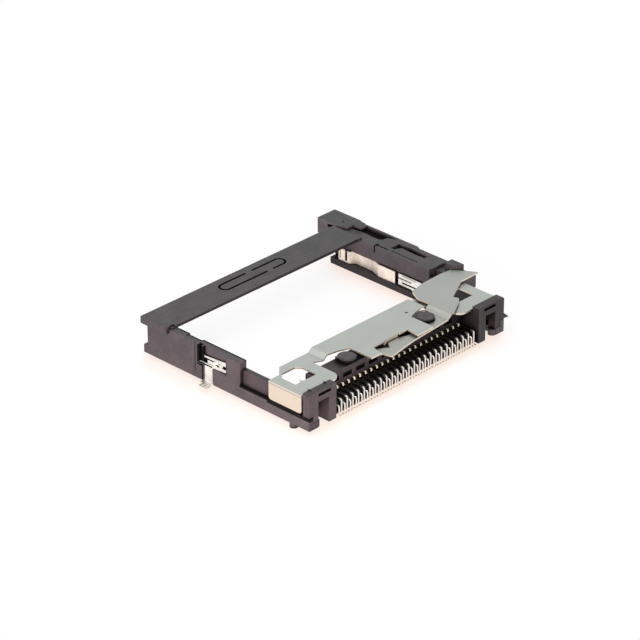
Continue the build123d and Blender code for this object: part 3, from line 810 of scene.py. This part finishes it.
class SOCKET_OT_pivots(bpy.types.Operator):
    """Makes the staked tops of the two bosses and two patches of the lever's lower sheet"""

    bl_idname = "socket.pivots"
    bl_label = "Make the Pivots"

    def execute(self, context):
        settings = context.scene.socket
        detail = settings.detail
        plastic = settings.plastic
        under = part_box("eject_lever")[0][2]
        top = under + 0.77 * MM
        heads = [(staked_head((x, BOSS[1], top), detail.head_radius, detail.head_height), "capped")
                 for x in (-BOSS[0], BOSS[0])]
        finish = moulded("boss_plastic", tuple(plastic.frame_colour), plastic)
        add_surface("boss_heads", heads, "socket", finish)
        # The sheet round the pivot, as millimetres from the boss, and the corner of the nose
        web = [(-1.10, 0.75), (-0.55, 1.20), (0.25, 1.28), (0.95, 0.90), (2.35, 1.20), (2.35, 2.12),
               (1.00, 2.75), (-0.45, 2.90), (-1.80, 2.40), (-2.55, 1.45), (-2.77, 0.40)]
        web = [(BOSS[0] + x * MM, BOSS[1] + y * MM) for x, y in web]
        nose = [(-3.75, 0.45), (-4.15, -1.15), (-2.90, -2.00), (-1.80, -0.90)]
        nose = [(x * MM, y * MM) for x, y in nose]
        grids = [(flat_web(outline, under, detail.web_sheet - HAIR), "capped")
                 for outline in (web, nose)]
        steel = rolled("web_steel", tuple(settings.metal.lever_colour), settings.metal,
                       (0.5, 0.08, 1.0))
        add_surface("lever_web", grids, "lever", steel)
        return {"FINISHED"}


class SOCKET_OT_stage(bpy.types.Operator):
    """Sets the floor, the lamps, the sky and the camera"""

    bl_idname = "socket.stage"
    bl_label = "Set the Stage"

    def execute(self, context):
        scene = context.scene
        stage = scene.socket.stage
        scene.view_settings.view_transform = "Standard"
        self.make_floor(solid_box[0][2])
        self.make_sky(scene, stage.sky)
        for name, place, width, power, colour in LAMPS:
            self.make_lamp(scene, name, place, width, getattr(stage, power), colour)
        self.make_camera(scene, stage)
        return {"FINISHED"}

    def make_floor(self, level):
        """A round floor: radius times (cos, sin) of the angle, flat at the level of the pegs."""
        radius = np.array(FLOOR_RINGS)[:, None]
        turn = np.linspace(0.0, 2.0 * math.pi, 64, endpoint=False)[None, :]
        flat = level + 0.0 * radius * turn
        grid = np.stack([radius * np.cos(turn), radius * np.sin(turn), flat], axis=-1)
        material = bpy.data.materials.new("floor_white")
        shader = Shader(material)
        cloud = shader.noise(40.0 * MM)
        paper = shader.mix((0.94, 0.945, 0.95), (0.96, 0.965, 0.97), cloud)
        matte = shader.node("ShaderNodeBsdfDiffuse", None, {"Color": paper})["BSDF"]
        # Near the object the paper lets its shadow show, and where the object closes over it the glow
        # is painted a warm shadow colour
        sockets = {0: shader.place()}
        away = shader.node("ShaderNodeVectorMath", {"operation": "LENGTH"}, sockets)["Value"]
        near = shader.step(away, SHADOW_ENDS, SHADOW_FULL)
        under = shader.crevice(7.0 * MM, False) * near
        glow = shader.mix((1.0, 1.0, 1.0), (1.0, 0.87, 0.79), under)
        sockets = {"Color": glow, "Strength": 1.0}
        lit = shader.node("ShaderNodeEmission", None, sockets)["Emission"]
        sockets = {0: shader.seen() * (1.0 - 0.12 * near), 1: matte, 2: lit}
        both = shader.node("ShaderNodeMixShader", None, sockets)["Shader"]
        shader.node("ShaderNodeOutputMaterial", None, {"Surface": both})
        floor = add_surface("floor", [(grid, "open")], None, material)

    def make_sky(self, scene, strength):
        """Even white light, and plain white where the camera or a gloss looks past the floor."""
        if scene.world is None:
            scene.world = bpy.data.worlds.new("sky")
        shader = Shader(scene.world)
        power = strength + (1.0 - strength) * shader.seen()
        sockets = {"Color": (1.0, 1.0, 1.0), "Strength": power}
        sky = shader.node("ShaderNodeBackground", None, sockets)["Background"]
        shader.node("ShaderNodeOutputWorld", None, {"Surface": sky})

    def make_lamp(self, scene, name, place, width, power, colour):
        """A square soft lamp that faces the object."""
        lamp = bpy.data.lights.new(name, "AREA")
        lamp.size = width
        lamp.energy = power
        lamp.color = colour
        holder = bpy.data.objects.new(name, lamp)
        holder.location = place
        holder.rotation_mode = "QUATERNION"
        aim = Vector(TARGET) - Vector(place)
        holder.rotation_quaternion = aim.to_track_quat("-Z", "Y")
        scene.collection.objects.link(holder)

    def make_camera(self, scene, stage):
        """A camera whose right is level and whose back points along the given direction."""
        back = Vector(stage.back).normalized()
        right = Vector((0.0, 0.0, 1.0)).cross(back).normalized()
        up = back.cross(right)
        lens = bpy.data.cameras.new("camera")
        lens.angle = stage.angle
        lens.clip_start = 0.01
        lens.clip_end = 10.0
        camera = bpy.data.objects.new("camera", lens)
        turn = Matrix((right, up, back)).transposed()
        camera.matrix_world = Matrix.Translation(Vector(stage.eye)) @ turn.to_4x4()
        scene.collection.objects.link(camera)
        scene.camera = camera


STEPS = (SOCKET_OT_mouldings, SOCKET_OT_sheet_metal, SOCKET_OT_contacts, SOCKET_OT_ground_clip,
         SOCKET_OT_pivots, SOCKET_OT_stage)


class SOCKET_PT_dressing(bpy.types.Panel):
    """The steps of the dressing, in order"""

    bl_idname = "SOCKET_PT_dressing"
    bl_label = "Card Socket"
    bl_space_type = "VIEW_3D"
    bl_region_type = "UI"
    bl_category = "Socket"

    def draw(self, context):
        for step in STEPS:
            self.layout.operator(step.bl_idname)
        settings = context.scene.socket
        for group in (settings.plastic, settings.metal, settings.detail, settings.stage):
            box = self.layout.box()
            for name in group.__annotations__:
                box.prop(group, name)


CLASSES = (
    PlasticSettings, MetalSettings, DetailSettings, StageSettings, SocketSettings,
    *STEPS, SOCKET_PT_dressing,
)


def register():
    """Registers the classes and puts the settings on the scene."""
    for kind in CLASSES:
        bpy.utils.register_class(kind)
    bpy.types.Scene.socket = bpy.props.PointerProperty(type=SocketSettings)


def unregister():
    """Takes the settings off the scene and removes the classes."""
    del bpy.types.Scene.socket
    for kind in reversed(CLASSES):
        bpy.utils.unregister_class(kind)


def main():
    """Runs every step in order."""
    register()
    for step in STEPS:
        group, name = step.bl_idname.split(".")
        getattr(getattr(bpy.ops, group), name)()


if __name__ == "__main__":
    main()
